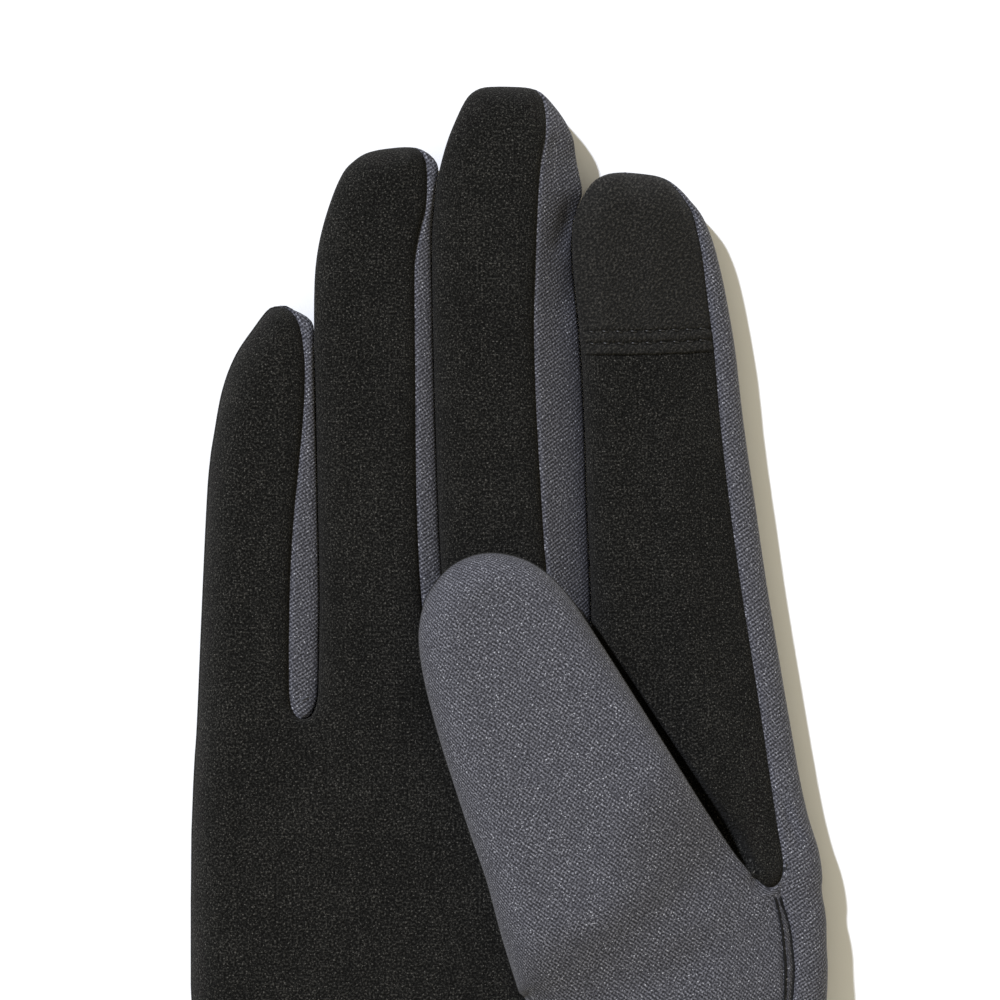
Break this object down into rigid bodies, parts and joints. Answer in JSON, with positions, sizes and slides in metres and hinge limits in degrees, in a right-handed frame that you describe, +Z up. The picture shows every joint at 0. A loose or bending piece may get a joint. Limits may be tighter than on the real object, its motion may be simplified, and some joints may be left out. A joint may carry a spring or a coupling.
{
  "type": "touchscreen glove",
  "caption": "Right-hand touchscreen glove lying palm up with the thumb folded across: black suede palm, grey jersey back and finger sides, twill touch patch.",
  "frame": {"origin": "centre of the glove's outline in plan, on the surface that it lies on", "axes": "+Z up out of the palm, +Y towards the fingertips, +X towards the thumb side"},
  "size_m": [0.102, 0.24, 0.0254],
  "materials": {
    "black_suede": "matt microsuede with a short nap",
    "grey_jersey": "slate-grey jersey with a fine diagonal rib",
    "black_touch_twill": "tight conductive twill",
    "sewing_thread": "twisted polyester thread",
    "grey_facing": "brushed inside of the jersey",
    "black_elastic": "flat braided elastic",
    "white_label": "blank woven satin"
  },
  "bodies": {
    "hand": {"palm_panel": "black_suede", "back_panel": "grey_jersey", "thumb_root": "grey_jersey", "fourchette_little_ring": "grey_jersey", "fourchette_ring_middle": "grey_jersey", "fourchette_middle_index": "grey_jersey", "cuff_facing": "grey_facing", "wrist_elastic": "black_elastic", "care_label": "white_label", "cuff_stitching": "sewing_thread"},
    "little_mid": {"little_mid_palm": "black_suede", "little_mid_back": "grey_jersey", "little_mid_right": "grey_jersey"},
    "little_tip": {"little_tip_palm": "black_suede", "little_tip_back": "grey_jersey", "little_tip_right": "grey_jersey"},
    "ring_mid": {"ring_mid_palm": "black_suede", "ring_mid_back": "grey_jersey", "ring_mid_left": "grey_jersey", "ring_mid_right": "grey_jersey"},
    "ring_tip": {"ring_tip_palm": "black_suede", "ring_tip_back": "grey_jersey", "ring_tip_left": "grey_jersey", "ring_tip_right": "grey_jersey"},
    "middle_mid": {"middle_mid_palm": "black_suede", "middle_mid_back": "grey_jersey", "middle_mid_left": "grey_jersey", "middle_mid_right": "grey_jersey"},
    "middle_tip": {"middle_tip_palm": "black_suede", "middle_tip_back": "grey_jersey", "middle_tip_left": "grey_jersey", "middle_tip_right": "grey_jersey"},
    "index_mid": {"index_mid_palm": "black_suede", "index_mid_back": "grey_jersey", "index_mid_left": "grey_jersey"},
    "index_tip": {"index_touch_patch": "black_touch_twill", "index_tip_back": "grey_jersey", "index_tip_left": "grey_jersey", "index_patch_stitching": "sewing_thread"},
    "thumb": {"thumb_back": "grey_jersey", "thumb_palm": "black_suede"},
    "thumb_tip": {"thumb_tip_back": "grey_jersey", "thumb_touch_patch": "black_touch_twill"}
  },
  "joints": [
    {"name": "little_middle_joint", "type": "hinge", "parent": "hand", "child": "little_mid", "pos_m": [-0.03994, 0.04169, 0.014], "axis": [0.9994, -0.0353, 0], "range_deg": [0, 95]},
    {"name": "little_end_joint", "type": "hinge", "parent": "little_mid", "child": "little_tip", "pos_m": [-0.03927, 0.06067, 0.014], "axis": [0.9994, -0.0353, 0], "range_deg": [0, 64]},
    {"name": "ring_middle_joint", "type": "hinge", "parent": "hand", "child": "ring_mid", "pos_m": [-0.02135, 0.0572, 0.014], "axis": [1, 0, 0], "range_deg": [0, 95]},
    {"name": "ring_end_joint", "type": "hinge", "parent": "ring_mid", "child": "ring_tip", "pos_m": [-0.02135, 0.0827, 0.014], "axis": [1, 0, 0], "range_deg": [0, 64]},
    {"name": "middle_middle_joint", "type": "hinge", "parent": "hand", "child": "middle_mid", "pos_m": [0.00044, 0.06399, 0.014], "axis": [0.9999, 0.0145, 0], "range_deg": [0, 95]},
    {"name": "middle_end_joint", "type": "hinge", "parent": "middle_mid", "child": "middle_tip", "pos_m": [0.00005, 0.09099, 0.014], "axis": [0.9999, 0.0145, 0], "range_deg": [0, 64]},
    {"name": "index_middle_joint", "type": "hinge", "parent": "hand", "child": "index_mid", "pos_m": [0.02667, 0.05239, 0.014], "axis": [0.9967, 0.0807, 0], "range_deg": [0, 95]},
    {"name": "index_end_joint", "type": "hinge", "parent": "index_mid", "child": "index_tip", "pos_m": [0.02482, 0.07531, 0.014], "axis": [0.9967, 0.0807, 0], "range_deg": [0, 64]},
    {"name": "thumb_base_joint", "type": "hinge", "parent": "hand", "child": "thumb", "pos_m": [0.0198, -0.017, 0.02535], "axis": [0.9135, 0.4067, 0], "range_deg": [0, 75]},
    {"name": "thumb_end_joint", "type": "hinge", "parent": "thumb", "child": "thumb_tip", "pos_m": [0.00495, 0.01634, 0.02535], "axis": [0.9135, 0.4067, 0], "range_deg": [0, 25]}
  ],
  "couplings": [
    {"joint": "little_end_joint", "follows": "little_middle_joint", "ratio": 0.67},
    {"joint": "ring_end_joint", "follows": "ring_middle_joint", "ratio": 0.67},
    {"joint": "middle_end_joint", "follows": "middle_middle_joint", "ratio": 0.67},
    {"joint": "index_end_joint", "follows": "index_middle_joint", "ratio": 0.67}
  ]
}
